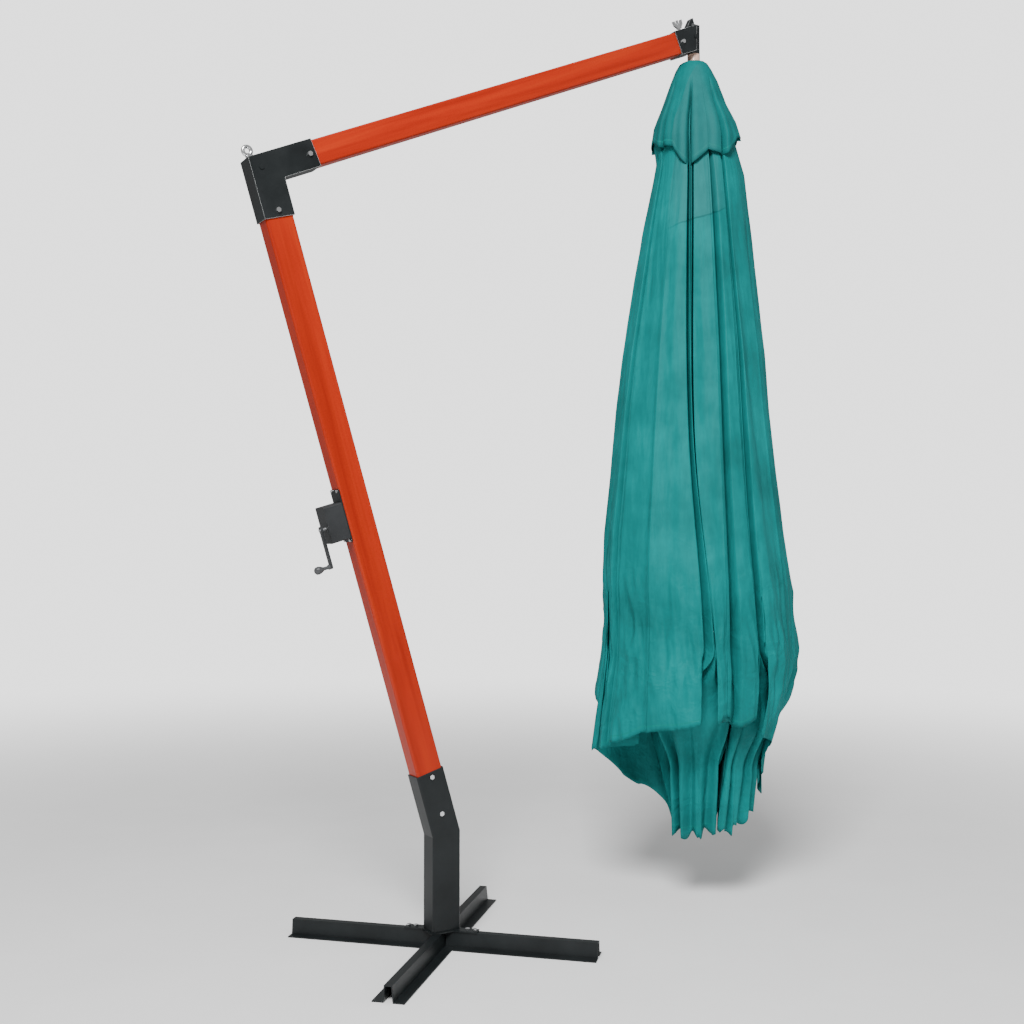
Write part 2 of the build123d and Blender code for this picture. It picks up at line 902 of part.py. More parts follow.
# local x of these planes is Y; local y points down the mast
gear(rear_plane(drum_s, gear_face, drum_y), gear_teeth, pi / 2, shaft_r + 0.02, "drum_gear")
gear(
    rear_plane(crank_s, gear_face, drum_y),
    pinion_teeth,
    -pi / 2 + pi / pinion_teeth,
    shaft_r + 0.02,
    "crank_pinion",
)

case_top = case_foot - case_deep
arm_seat = case_top - crank_stand
arm_thick = 6
with BuildPart() as crank_shaft:
    with BuildSketch(rear_plane(crank_s, -rear - 0.3, drum_y)):
        Circle(shaft_r)
    extrude(amount=-rear - 0.3 - arm_seat + arm_thick + 3)
save(crank_shaft, "crank_shaft")

with BuildPart() as crank_arm:
    with BuildSketch(rear_plane(crank_s - crank_reach / 2, arm_seat, drum_y)):
        SlotCenterToCenter(crank_reach, 14, rotation=90)
    extrude(amount=arm_thick)
    with BuildSketch(rear_plane(crank_s, arm_seat, drum_y)):
        Circle(10)
    extrude(amount=arm_thick)
    with BuildSketch(rear_plane(crank_s, arm_seat, drum_y)):
        Circle(shaft_r + 0.02)
    extrude(amount=arm_thick, mode=Mode.SUBTRACT)
    with BuildSketch(rear_plane(crank_s - crank_reach, arm_seat, drum_y)):
        Circle(pin_r + 0.02)
    extrude(amount=arm_thick, mode=Mode.SUBTRACT)
save(crank_arm, "crank_arm")

grip_s = crank_s - crank_reach
grip_foot = arm_seat - arm_thick
grip_long = 44
with BuildPart() as grip_pin:
    with BuildSketch(rear_plane(grip_s, arm_seat, drum_y)):
        Circle(pin_r)
    extrude(amount=arm_thick + grip_long - 6)
save(grip_pin, "grip_pin")

with BuildPart() as crank_grip:
    knob = rear_plane(grip_s, grip_foot - 0.5, drum_y)
    a = radians(lean)
    with BuildSketch(Plane(origin=knob.origin, x_dir=(0, 1, 0), z_dir=(-sin(a), 0, cos(a)))):
        with BuildLine():
            Polyline(
                (0, 0),
                (7, 0),
                (7, 4),
                (4.8, 7),
                (4.8, 18),
                (9, 26),
                (11, 33),
                (10, 40),
                (6, grip_long),
                (0, grip_long),
                close=True,
            )
        make_face()
    revolve(axis=Axis(knob.origin, knob.z_dir))
    with BuildSketch(knob):
        Circle(pin_r + fit_gap)
    extrude(amount=grip_long - 5, mode=Mode.SUBTRACT)
save(crank_grip, "crank_grip")

# lift cord: from the drum up the mast, over both sheaves, and down through the hub
cord_start = mast_point(drum_s, channel_n)
mast_line = flat(mast_point(drum_s, channel_n))
boom_line = flat(boom_point(0, boom_channel_h))
elbow_corner = meet(mast_line, mast_way, boom_line, boom_way)
end_corner = (axis_x, boom_height(axis_x, boom_channel_h))
hub_low = pivot_z - hub_half
with BuildPart() as lift_cord:
    with BuildLine() as route:
        FilletPolyline(
            cord_start,
            (elbow_corner[0], 0, elbow_corner[1]),
            (end_corner[0], 0, end_corner[1]),
            (axis_x, 0, hub_low),
            radius=sheave_r,
        )
    with BuildSketch(Plane(origin=cord_start, z_dir=(-sin(radians(lean)), 0, cos(radians(lean))))):
        Circle(cord_r)
    sweep(path=route.wires()[0])
save(lift_cord, "lift_cord")

with BuildPart() as drop_cord:
    with BuildSketch(Plane.XY.offset(hub_low - 0.5)):
        with Locations((axis_x, 0)):
            Circle(cord_r)
    extrude(amount=-(hub_low - 0.5 - runner_z + hub_half))
save(drop_cord, "drop_cord")
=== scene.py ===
import math
import bpy
from mathutils import Euler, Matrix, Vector, noise


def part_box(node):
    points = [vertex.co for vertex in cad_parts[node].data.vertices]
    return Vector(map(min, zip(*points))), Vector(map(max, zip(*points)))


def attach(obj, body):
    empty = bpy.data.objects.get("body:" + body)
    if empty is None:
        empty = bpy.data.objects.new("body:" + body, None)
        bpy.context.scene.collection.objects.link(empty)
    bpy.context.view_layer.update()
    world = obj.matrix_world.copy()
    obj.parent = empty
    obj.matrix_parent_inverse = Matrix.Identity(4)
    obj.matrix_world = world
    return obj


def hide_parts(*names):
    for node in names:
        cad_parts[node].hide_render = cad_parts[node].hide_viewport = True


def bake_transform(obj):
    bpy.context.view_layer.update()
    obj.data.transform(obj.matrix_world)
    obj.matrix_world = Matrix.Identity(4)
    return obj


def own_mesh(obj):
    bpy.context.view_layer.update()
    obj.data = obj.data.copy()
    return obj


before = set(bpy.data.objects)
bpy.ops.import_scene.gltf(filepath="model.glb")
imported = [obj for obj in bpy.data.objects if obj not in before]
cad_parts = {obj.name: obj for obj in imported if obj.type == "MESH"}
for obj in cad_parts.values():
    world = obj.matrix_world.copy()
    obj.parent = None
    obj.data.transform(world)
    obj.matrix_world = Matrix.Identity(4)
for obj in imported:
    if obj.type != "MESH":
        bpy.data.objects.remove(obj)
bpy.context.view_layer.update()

# camera: at standing chest height, in front of the mast, looking past it
cam_data = bpy.data.cameras.new("camera")
cam = bpy.data.objects.new("camera", cam_data)
bpy.context.collection.objects.link(cam)
cam_data.sensor_width = 36
cam_data.lens = 42.7
cam.location = (-1.600, -3.020, 1.119)
turn = math.radians(-31.2)
tilt = math.radians(90 + 1.46)
cam.rotation_euler = Euler((tilt, 0, turn), "XYZ")
bpy.context.scene.camera = cam

# the canopy: its upright axis, the ribs' hinges, and the ribs' angle from upright furled and open
AXIS = 0.915
HINGE_R = 0.0535
PIVOT_Z = 2.575
FURLED = math.radians(5)
# lean of the mast from upright, and of the boom
LEAN = math.radians(16.6)
RISE = math.radians(24.4)
# tops of the gores and of the vent cap, and the cloth's thickness as shown
GORE_TOP = 2.555
CAP_TOP = 2.666
CLOTH_THICK = 0.0014
HALF_GORE = math.radians(22.5)
# middle of the darker patch on the cloth below the vent cap, and height of its lower edge there
PATCH_X = AXIS - 0.08
PATCH_LOW = 2.105


# ---------------------------------------------------------------- material helpers
def new_material(name, rough, metallic=0.0, specular=0.5):
    m = bpy.data.materials.new(name)
    m.use_nodes = True
    shader = m.node_tree.nodes["Principled BSDF"]
    shader.inputs["Roughness"].default_value = rough
    shader.inputs["Metallic"].default_value = metallic
    shader.inputs["Specular IOR Level"].default_value = specular
    return m, m.node_tree, shader


def coords(tree, scale=(1, 1, 1), turn_y=0.0):
    """Object coordinates, turned about Y and then scaled."""
    tc = tree.nodes.new("ShaderNodeTexCoord")
    turned = tree.nodes.new("ShaderNodeMapping")
    turned.inputs["Rotation"].default_value = (0, turn_y, 0)
    tree.links.new(tc.outputs["Object"], turned.inputs["Vector"])
    sized = tree.nodes.new("ShaderNodeMapping")
    sized.inputs["Scale"].default_value = scale
    tree.links.new(turned.outputs["Vector"], sized.inputs["Vector"])
    return sized.outputs["Vector"]


def noise_tex(tree, vector, scale, detail=4.0, rough=0.55, distort=0.0):
    n = tree.nodes.new("ShaderNodeTexNoise")
    n.inputs["Scale"].default_value = scale
    n.inputs["Detail"].default_value = detail
    n.inputs["Roughness"].default_value = rough
    n.inputs["Distortion"].default_value = distort
    tree.links.new(vector, n.inputs["Vector"])
    return n.outputs["Fac"]


def ramp(tree, fac, stops):
    """Colour ramp through stops given as (position, colour) in rising position."""
    r = tree.nodes.new("ShaderNodeValToRGB")
    r.color_ramp.elements[0].position = stops[0][0]
    r.color_ramp.elements[0].color = (*stops[0][1], 1)
    r.color_ramp.elements[1].position = stops[-1][0]
    r.color_ramp.elements[1].color = (*stops[-1][1], 1)
    for pos, col in stops[1:-1]:
        e = r.color_ramp.elements.new(pos)
        e.color = (*col, 1)
    tree.links.new(fac, r.inputs["Fac"])
    return r.outputs["Color"]


def two_tone(tree, fac, colour, low):
    """From low times the colour up to the colour itself."""
    return ramp(tree, fac, [(0.3, tuple(c * low for c in colour)), (0.7, colour)])


def mix(tree, fac, a, b, kind="MIX"):
    m = tree.nodes.new("ShaderNodeMix")
    m.data_type = "RGBA"
    m.blend_type = kind
    for name, socket_type, value in (("Factor", "VALUE", fac), ("A", "RGBA", a), ("B", "RGBA", b)):
        socket = [s for s in m.inputs if s.name == name and s.type == socket_type][0]
        if isinstance(value, (int, float)):
            socket.default_value = value
        elif isinstance(value, tuple):
            socket.default_value = (*value, 1)
        else:
            tree.links.new(value, socket)
    return [s for s in m.outputs if s.type == "RGBA"][0]


def math_node(tree, kind, a, b=0.0):
    n = tree.nodes.new("ShaderNodeMath")
    n.operation = kind
    for i, v in enumerate((a, b)):
        if isinstance(v, (int, float)):
            n.inputs[i].default_value = v
        else:
            tree.links.new(v, n.inputs[i])
    return n.outputs[0]


def times_plus(tree, value, by, plus):
    return math_node(tree, "ADD", math_node(tree, "MULTIPLY", value, by), plus)


def times(tree, a, b):
    return math_node(tree, "MULTIPLY", a, b)


def away_from(tree, value, middle):
    return math_node(tree, "ABSOLUTE", math_node(tree, "SUBTRACT", value, middle))


def fade(tree, value, start, end):
    """0 at start and beyond, rising straight to 1 at end."""
    n = tree.nodes.new("ShaderNodeMapRange")
    n.inputs["From Min"].default_value = start
    n.inputs["From Max"].default_value = end
    tree.links.new(value, n.inputs["Value"])
    return n


def split_xyz(tree, vector):
    n = tree.nodes.new("ShaderNodeSeparateXYZ")
    tree.links.new(vector, n.inputs["Vector"])
    return n.outputs


def bump(tree, shader, height, strength, distance):
    b = tree.nodes.new("ShaderNodeBump")
    b.inputs["Strength"].default_value = strength
    b.inputs["Distance"].default_value = distance
    tree.links.new(height, b.inputs["Height"])
    tree.links.new(b.outputs["Normal"], shader.inputs["Normal"])


def edge_highlight_mask(tree, radius):
    """1 on edges about as wide as radius, 0 on flats."""
    soft = tree.nodes.new("ShaderNodeBevel")
    soft.samples = 4
    soft.inputs["Radius"].default_value = radius
    true = tree.nodes.new("ShaderNodeNewGeometry")
    dot = tree.nodes.new("ShaderNodeVectorMath")
    dot.operation = "DOT_PRODUCT"
    tree.links.new(soft.outputs["Normal"], dot.inputs[0])
    tree.links.new(true.outputs["Normal"], dot.inputs[1])
    return math_node(tree, "LESS_THAN", dot.outputs["Value"], 0.985)


# ---------------------------------------------------------------- materials
def paint(name, dark, light, rough, highlight_radius=0.0):
    """Black or grey powder paint: fine orange peel, faint dust, and a painted highlight of light grey along the
    edges.
    """
    m, t, s = new_material(name, rough, 0.0, 0.28)
    v = coords(t)
    big = noise_tex(t, v, 9.0, 5.0)
    fine = noise_tex(t, v, 160.0, 3.0)
    base = ramp(t, big, [(0.3, dark), (0.75, light)])
    if highlight_radius:
        # painted highlight: light grey mixed in along the edges, where light glints on them
        painted_highlight = (0.42, 0.43, 0.43)
        base = mix(t, times(t, edge_highlight_mask(t, highlight_radius), 0.8), base, painted_highlight)
    t.links.new(base, s.inputs["Base Color"])
    t.links.new(times_plus(t, big, 0.25, rough - 0.12), s.inputs["Roughness"])
    bump(t, s, fine, 0.12, 0.0006)
    return m


def timber(name, turn_y, pale, mid, deep, rough=0.38):
    """Varnished hardwood: long grain along the piece, darker streaks and fine pores."""
    m, t, s = new_material(name, rough, 0.0, 0.22)
    grain = coords(t, (1, 1, 0.045), turn_y)
    streak = noise_tex(t, grain, 34.0, 6.0, 0.6, 0.4)
    broad = noise_tex(t, grain, 9.0, 3.0, 0.5, 0.8)
    pores = noise_tex(t, coords(t, (1, 1, 0.03), turn_y), 260.0, 2.0)
    base = ramp(t, streak, [(0.25, deep), (0.5, mid), (0.78, pale)])
    tone = two_tone(t, broad, (1.0, 1.0, 1.0), 0.78)
    t.links.new(mix(t, 1.0, base, tone, "MULTIPLY"), s.inputs["Base Color"])
    t.links.new(times_plus(t, streak, 0.18, rough - 0.08), s.inputs["Roughness"])
    s.inputs["Coat Weight"].default_value = 0.03
    s.inputs["Coat Roughness"].default_value = 0.25
    bump(t, s, pores, 0.10, 0.0005)
    return m


def metal(name, colour, rough, brushed=0.25):
    """Bare metal: fine brushing, with duller patches."""
    m, t, s = new_material(name, rough, 1.0)
    brush = noise_tex(t, coords(t, (1, 1, 0.2)), 220.0, 3.0)
    dull = noise_tex(t, coords(t), 30.0, 3.0)
    t.links.new(two_tone(t, dull, colour, 0.78), s.inputs["Base Color"])
    t.links.new(times_plus(t, brush, brushed, rough - brushed / 2), s.inputs["Roughness"])
    bump(t, s, brush, 0.06, 0.0003)
    return m


def plastic(name, colour, rough):
    """Moulded plastic or cord: fine grain and faint tone changes."""
    m, t, s = new_material(name, rough)
    v = coords(t)
    fine = noise_tex(t, v, 300.0, 2.0)
    broad = noise_tex(t, v, 14.0, 3.0)
    t.links.new(two_tone(t, broad, colour, 0.85), s.inputs["Base Color"])
    bump(t, s, fine, 0.15, 0.0004)
    return m


def hem_stitches(t):
    """1 on the dashes of a row of stitches along the hem; the cloth's UV holds metres from the hem."""
    uv = split_xyz(t, t.nodes.new("ShaderNodeTexCoord").outputs["UV"])
    row = math_node(t, "LESS_THAN", away_from(t, uv["Y"], 0.018), 0.0022)
    dashes = math_node(t, "LESS_THAN", math_node(t, "FRACT", times(t, uv["X"], 160.0)), 0.65)
    return times(t, row, dashes)


def darker_front_patch(t, colour, place, mottle):
    """A darker patch on the cloth below the vent cap at the front, with a slanting, ragged lower edge drawn as
    a darker line.
    """
    across = math_node(t, "SUBTRACT", place["X"], PATCH_X)
    slant = times_plus(t, across, 0.45, PATCH_LOW)
    ragged = math_node(t, "ADD", slant, times(t, mottle, 0.05))
    drop = math_node(t, "SUBTRACT", place["Z"], ragged)
    edge = fade(t, math_node(t, "ABSOLUTE", across), 0.085, 0.045).outputs["Result"]
    front = times(t, edge, math_node(t, "LESS_THAN", place["Y"], -0.05))
    layer = times(t, times(t, math_node(t, "GREATER_THAN", drop, 0.0), front), 0.38)
    # the cloth darkened in a patch below the vent cap, with a darker line along its lower edge
    patched = mix(t, layer, colour, (0.020, 0.120, 0.120))
    patch_edge_line = math_node(t, "LESS_THAN", math_node(t, "ABSOLUTE", drop), 0.0025)
    return mix(t, times(t, patch_edge_line, front), patched, (0.001, 0.095, 0.092))


def cloth_relief(t, v, place):
    """Height of the weave and creases; the slack lower cloth is crinkled all over."""
    crease = noise_tex(t, coords(t, (1, 1, 0.35)), 16.0, 6.0, 0.6, 1.2)
    weave = noise_tex(t, v, 420.0, 1.0)
    ridge = away_from(t, noise_tex(t, v, 11.0, 3.0, 0.5, 0.8), 0.5)
    slack = fade(t, place["Z"], 1.25, 0.80).outputs["Result"]
    crinkle = times(t, times(t, ridge, slack), -5.0)
    return math_node(t, "ADD", math_node(t, "ADD", crease, times(t, weave, 0.06)), crinkle)


def cloth(name, shade=1.0):
    """Woven polyester: soft mottling, fine slubs, a stitched hem, a darker patch below the vent cap and
    creases.
    """
    m, t, s = new_material(name, 0.66, 0.0, 0.12)
    v = coords(t)
    place = split_xyz(t, v)
    mottle = noise_tex(t, v, 5.0, 4.0, 0.6)
    slub = noise_tex(t, coords(t, (1, 1, 0.12)), 90.0, 3.0)
    tones = ((0.28, (0.0004, 0.118, 0.114)), (0.55, (0.0006, 0.172, 0.168)), (0.80, (0.0015, 0.228, 0.224)))
    base = ramp(t, mottle, [(at, tuple(c * shade for c in colour)) for at, colour in tones])
    woven = mix(t, 1.0, base, two_tone(t, slub, (1.0, 1.0, 1.0), 0.88), "MULTIPLY")
    hemmed = mix(t, hem_stitches(t), woven, (0.003, 0.16, 0.14))
    t.links.new(darker_front_patch(t, hemmed, place, mottle), s.inputs["Base Color"])
    bump(t, s, cloth_relief(t, v, place), 0.35, 0.006)
    return m


BLACK = ((0.004, 0.0055, 0.006), (0.012, 0.015, 0.016))
MAST_TONES = ((0.46, 0.030, 0.002), (0.38, 0.018, 0.001), (0.27, 0.010, 0.001))
BOOM_TONES = ((0.46, 0.029, 0.002), (0.38, 0.017, 0.001), (0.26, 0.009, 0.001))
RIB_TONES = ((0.50, 0.27, 0.12), (0.40, 0.20, 0.085), (0.28, 0.13, 0.05))
mats = {
    "black_steel": paint("black_steel", *BLACK, 0.42),
    # the brackets get a painted highlight along their edges
    "bracket_steel": paint("bracket_steel", *BLACK, 0.42, 0.0016),
    "grey_case": paint("grey_case", (0.013, 0.014, 0.015), (0.030, 0.032, 0.034), 0.48),
    "grey_steel": paint("grey_steel", (0.016, 0.017, 0.018), (0.036, 0.038, 0.040), 0.40),
    "mast_wood": timber("mast_wood", LEAN, *MAST_TONES),
    "boom_wood": timber("boom_wood", RISE - math.pi / 2, *BOOM_TONES),
    "rib_wood": timber("rib_wood", 0.0, *RIB_TONES, 0.5),
    "bright": metal("bright", (0.80, 0.81, 0.82), 0.22),
    "plain_steel": metal("plain_steel", (0.50, 0.51, 0.52), 0.38),
    "alloy": metal("alloy", (0.62, 0.63, 0.64), 0.40),
    "brass": metal("brass", (0.70, 0.52, 0.24), 0.30),
    "hub_plastic": plastic("hub_plastic", (0.035, 0.036, 0.038), 0.5),
    "grip_plastic": plastic("grip_plastic", (0.050, 0.052, 0.055), 0.42),
    "collar": plastic("collar", (0.72, 0.46, 0.36), 0.3),
    "cord": plastic("cord", (0.35, 0.35, 0.34), 0.8),
    "cloth": cloth("cloth"),
    # painted shade: the vent cap gets the body's cloth darkened to 0.72
    "shaded_cap_cloth": cloth("shaded_cap_cloth", 0.72),
}

# which material each piece has; numbered pieces are listed by what their names begin with
pieces = {
    "black_steel": ["base_beam_long", "base_arm_left", "base_arm_right", "lower_post", "winch_plate",
                    "elbow_sheave_pin", "end_sheave_pin"],
    "bracket_steel": ["elbow_bracket", "end_bracket"],
    "bright": ["base_bolts", "post_bolts", "elbow_bolts", "end_bolt", "elbow_eye", "wing_nut", "winch_screws"],
    "plain_steel": ["hub_pins", "runner_pins", "grip_pin", "crank_shaft", "winch_drum", "crank_pinion"],
    "hub_plastic": ["elbow_sheave", "end_sheave", "top_hub", "runner"],
    "mast_wood": ["mast"],
    "boom_wood": ["boom"],
    "brass": ["drum_gear"],
    "grey_case": ["winch_case"],
    "grey_steel": ["crank_arm"],
    "grip_plastic": ["crank_grip"],
    "collar": ["hang_collar"],
    "cord": ["lift_cord", "drop_cord"],
    "cloth": ["canopy_top"],
}
for start, slot in (("rib", "rib_wood"), ("strut", "alloy"), ("canopy", "cloth")):
    pieces.setdefault(slot, []).extend(f"{start}_{k}" for k in range(1, 9))
for slot, names in pieces.items():
    for name in names:
        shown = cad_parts[name].data
        shown.materials.clear()
        shown.materials.append(mats[slot])


# ---------------------------------------------------------------- shape helpers
def smooth(a, b, x):
    """0 at a, 1 at b, eased between; a may be the larger."""
    t = min(max((x - a) / (b - a), 0.0), 1.0)
    return t * t * (3 - 2 * t)


def outline(points, x):
    """Value at x of an outline given as (x, value) in rising x, eased between points."""
    if x <= points[0][0]:
        return points[0][1]
    for (x0, a), (x1, b) in zip(points, points[1:]):
        if x <= x1:
            return a + (b - a) * smooth(x0, x1, x)
    return points[-1][1]


def curve(points, z):
    """Value at height z of a straight-sided outline given as (height, value), highest first."""
    if z >= points[0][0]:
        return points[0][1]
    for (z1, a), (z0, b) in zip(points, points[1:]):
        if z >= z0:
            return a + (b - a) * (z1 - z) / (z1 - z0)
    return points[-1][1]


# direction, seen from the canopy's axis, of the right-hand side of the bundle
SIDE = math.radians(-31.2)


def between_sides(left_side, right_side, f, z):
    """Reach from the axis towards f at height z, between outlines of the bundle's two sides."""
    left, right = curve(left_side, z), curve(right_side, z)
    return (left + right) / 2 + (right - left) / 2 * math.cos(f - SIDE)


def add_mesh(name, verts, faces, uvs, material):
    mesh = bpy.data.meshes.new(name)
    mesh.from_pydata(verts, [], faces)
    layer = mesh.uv_layers.new(name="cut")
    for loop in mesh.loops:
        layer.data[loop.index].uv = uvs[loop.vertex_index]
    for p in mesh.polygons:
        p.use_smooth = True
    mesh.materials.append(material)
    o = bpy.data.objects.new(name, mesh)
    bpy.context.collection.objects.link(o)
    return o


def add_cloth(name, verts, uvs, rows, columns, material):
    """A sheet of cloth from a grid of points, with its thickness."""
    faces = []
    for j in range(rows):
        for i in range(columns):
            a = j * (columns + 1) + i
            faces.append((a, a + 1, a + columns + 2, a + columns + 1))
    o = add_mesh(name, verts, faces, uvs, material)
    thick = o.modifiers.new("thick", "SOLIDIFY")
    thick.thickness = CLOTH_THICK
    thick.offset = 0
    return o


# ---------------------------------------------------------------- gores
# the furled canopy's reach from its axis, to the left and right side of the bundle
reach_left = (
    (2.56, 0.066), (2.40, 0.128), (2.34, 0.119), (2.29, 0.128), (2.10, 0.168), (1.91, 0.200), (1.72, 0.232),
    (1.53, 0.257), (1.34, 0.276), (1.15, 0.298), (1.00, 0.303), (0.86, 0.292), (0.77, 0.296),
    (0.57, 0.328), (0.47, 0.342), (0.38, 0.300), (0.29, 0.200), (0.20, 0.120),
)
reach_right = (
    (2.56, 0.074), (2.40, 0.128), (2.29, 0.158), (2.10, 0.178), (1.91, 0.197), (1.72, 0.219),
    (1.53, 0.235), (1.34, 0.257), (1.15, 0.280), (1.00, 0.300), (0.86, 0.312), (0.77, 0.318),
    (0.67, 0.304), (0.57, 0.270), (0.47, 0.230), (0.38, 0.215), (0.29, 0.200), (0.20, 0.120),
)
# hem height across each gore, from its fold with the gore before (-1) to the one after (1)
hems = {
    1: ((-1, 0.62), (-0.375, 0.62), (-0.355, 0.30), (0.355, 0.27), (0.375, 0.58), (1, 0.58)),
    2: ((-1, 0.58), (-0.45, 0.62), (0, 0.93), (0.45, 0.60), (1, 0.52)),
    3: ((-1, 0.52), (-0.5, 0.42), (0, 0.235), (0.5, 0.345), (1, 0.470)),
    4: (
        (-1, 0.470), (-0.80, 0.475), (-0.75, 0.965), (-0.57, 0.965),
        (-0.52, 0.485), (0.2, 0.50), (1, 0.552),
    ),
    5: ((-1, 0.552), (-0.375, 0.580), (-0.355, 0.228), (0.355, 0.235), (0.375, 0.590), (1, 0.605)),
    6: (
        (-1, 0.605), (-0.70, 0.575), (-0.375, 0.590), (-0.355, 0.240),
        (0.355, 0.300), (0.375, 0.540), (1, 0.500),
    ),
    7: ((-1, 0.500), (-0.5, 0.395), (0, 0.330), (0.5, 0.450), (1, 0.680)),
    8: ((-1, 0.680), (-0.45, 0.74), (0, 0.95), (0.45, 0.72), (1, 0.62)),
}
# how far the outer folds of each gore lean round, as a share of half its width
lean_round = {1: 0.12, 2: -0.20, 3: 0.10, 4: -0.28, 5: 0.22, 6: -0.04, 7: 0.40, 8: 0.10}
# the corner tails below the hem: middle and half-width in degrees, and reach from the axis
tails = {1: (45, 38, 0.150), 5: (226, 36, 0.150), 6: (284, 27, 0.180)}
# where across a gore its tail ends
TAIL_EDGE = 0.36
# the corners that hang as slanting panels: reach of their middle, and how they bow out from it
slanting = {3: (0.060, 0.9), 7: (0.195, 1.3)}
# how much of the way out from the rib the cloth stands, across a gore: bunched leaves at the rib,
# broad smooth faces out to the folds between the ribs
leaves = ((-0.38, 1.0), (-0.26, 0.08), (-0.13, 0.90), (0, 0.04), (0.13, 0.88), (0.26, 0.08), (0.38, 1.0))
centre_leaves = ((-0.38, 1.0), (-0.26, 0.42), (-0.13, 0.96), (0, 0.36), (0.13, 0.93), (0.26, 0.42), (0.38, 1.0))
front_leaves = (
    (-0.92, 1.0), (-0.78, 0.40), (-0.66, 1.0), (-0.36, 1.0), (-0.25, 0.30),
    (-0.12, 0.90), (0, 0.30), (0.12, 0.88), (0.25, 0.30), (0.36, 1.0),
)
# how far the faces either side of a rib close over its leaves, as a share of half the gore
CLOSE_OVER = 0.27
# steps of the mesh across and down a gore
ACROSS = 150
DOWN = 150


def furl_angle(k, u, z, share, gather):
    """Direction from the axis of the cloth at u across gore k and height z."""
    inside = 1 - u * u
    lean = lean_round[k] * (0.4 + 0.6 * smooth(2.5, 1.4, z)) * share * inside ** 2
    sway = (0.05 * math.sin(1.9 * z + 1.3 * k) + 0.03 * math.sin(4.3 * z + 2.1 * k)) * inside
    if k in (5, 6):
        sway *= 2.2
    if k == 5:
        lean += 0.40 * smooth(1.5, 0.6, z) * share * inside ** 2
    at_leaves = math.exp(-(((abs(u) - 0.38) / 0.30) ** 2))
    pull = CLOSE_OVER * (0.87 + 0.16 * math.sin(3.1 * z + 2 * k)) * gather * share * at_leaves
    closed = math.copysign(pull, u) * min(abs(u) / 0.06, 1)
    return math.radians(45 * k) + HALF_GORE * (u - closed + lean + sway)


def outer_reach(k, u, z, f, share):
    """Distance from the axis of the outer cloth towards f, with long folds, waves and crinkles."""
    within = 1 - u ** 6
    slack = smooth(2.45, 1.6, z)
    long_fold = math.sin(7.0 * f + 1.9 * z + 0.8 * math.sin(1.3 * z + 2 * k))
    soft_wave = noise.noise(Vector((6 * math.cos(f), 6 * math.sin(f), 0.9 * z)))
    ridge = 1 - 2 * abs(noise.noise(Vector((9 * math.cos(f) + 2 * z, 9 * math.sin(f), 7 * z))))
    cross = 1 - 2 * abs(noise.noise(Vector((8 * math.cos(f), 8 * math.sin(f) - 5 * z, 4 * z + 9))))
    low = smooth(1.15, 0.8, z)
    broad = 1 - (1 - abs(u)) ** 2
    out = between_sides(reach_left, reach_right, f, z)
    out -= slack * within * share * 0.0085 * (1 + long_fold)
    out += slack * 0.010 * soft_wave * within
    return out + within * broad * (0.0055 * ridge + 0.0045 * cross) * (0.25 + 1.5 * low)


def slanting_reach(k, u, z, out, r):
    """Reach of a corner that hangs as one slanting panel below the hem of the front."""
    near, power = slanting[k]
    panel = near + (out - near) * abs(u) ** power + 0.008 * math.sin(13 * u + 4 * z) * (1 - u * u)
    return r + (panel - r) * smooth(0.64, 0.50, z)


def tail_point(k, u, z, f, r):
    """Direction, reach and height in a corner's tail, which fans out in pleats below the hem."""
    centre, half, away = tails[k]
    strip = u / TAIL_EDGE
    loose = smooth(0.80, 0.62, z) * smooth(0.40, 0.365, abs(u))
    wide = math.radians(centre + half * strip + 2.0 * math.sin(9 * strip + 5 * z))
    beat = math.sin(2 * math.pi * 2.1 * strip + k + 0.5 * math.sin(8 * z))
    pleat = 0.013 * beat + 0.010 * math.sin(17 * strip + 3 * k - 3 * z) - 0.014 * strip * strip
    low_r = away + (0.243 - away) * smooth(0.42, 0.60, z) + pleat * smooth(0.64, 0.52, z)
    low_r -= 0.12 * max(0.40 - z, 0.0)
    scallop = 1 + math.sin(11 * strip + 2.3 * k) + 0.5 * math.sin(23 * strip)
    return f + (wide - f) * loose, r + (low_r - r) * loose, z - 0.011 * scallop * smooth(0.36, 0.24, z)


def gore_point(k, u, z):
    """Where the cloth is at u across gore k and height z."""
    profile = {5: centre_leaves, 6: front_leaves}.get(k, leaves)
    gather = smooth(2.55, 2.25, z)
    share = 1 - (1 - outline(profile, u)) * (0.25 + 0.75 * gather)
    f = furl_angle(k, u, z, share, gather)
    out = outer_reach(k, u, z, f, share)
    inner = HINGE_R + (PIVOT_Z - z) * math.tan(FURLED)
    r = inner + max(out - inner, 0.004) * share
    if k in slanting:
        r = slanting_reach(k, u, z, out, r)
    elif k in tails and abs(u) < 0.40:
        f, r, z = tail_point(k, u, z, f, r)
    return AXIS + r * math.cos(f), r * math.sin(f), z


def gore(k):
    """The cloth along rib k: leaves folded in to the rib, and half of the outer folds at both sides."""
    verts, uvs = [], []
    for j in range(DOWN + 1):
        for i in range(ACROSS + 1):
            s = i / ACROSS * 2 - 1
            u = math.copysign(abs(s) ** 1.35, s)
            hem = outline(hems[k], u) + 0.004 * math.sin(11 * u + k)
            point = gore_point(k, u, GORE_TOP + (hem - GORE_TOP) * (j / DOWN))
            verts.append(point)
            uvs.append((u * 0.7, point[2] - hem))
    o = add_cloth(f"cloth_{k}", verts, uvs, DOWN, ACROSS, mats["cloth"])
    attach(o, f"rib_{k}")
    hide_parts(f"canopy_{k}")
    if k == 4:
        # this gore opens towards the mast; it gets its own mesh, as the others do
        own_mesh(o)
    else:
        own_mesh(o)


for k in range(1, 9):
    gore(k)

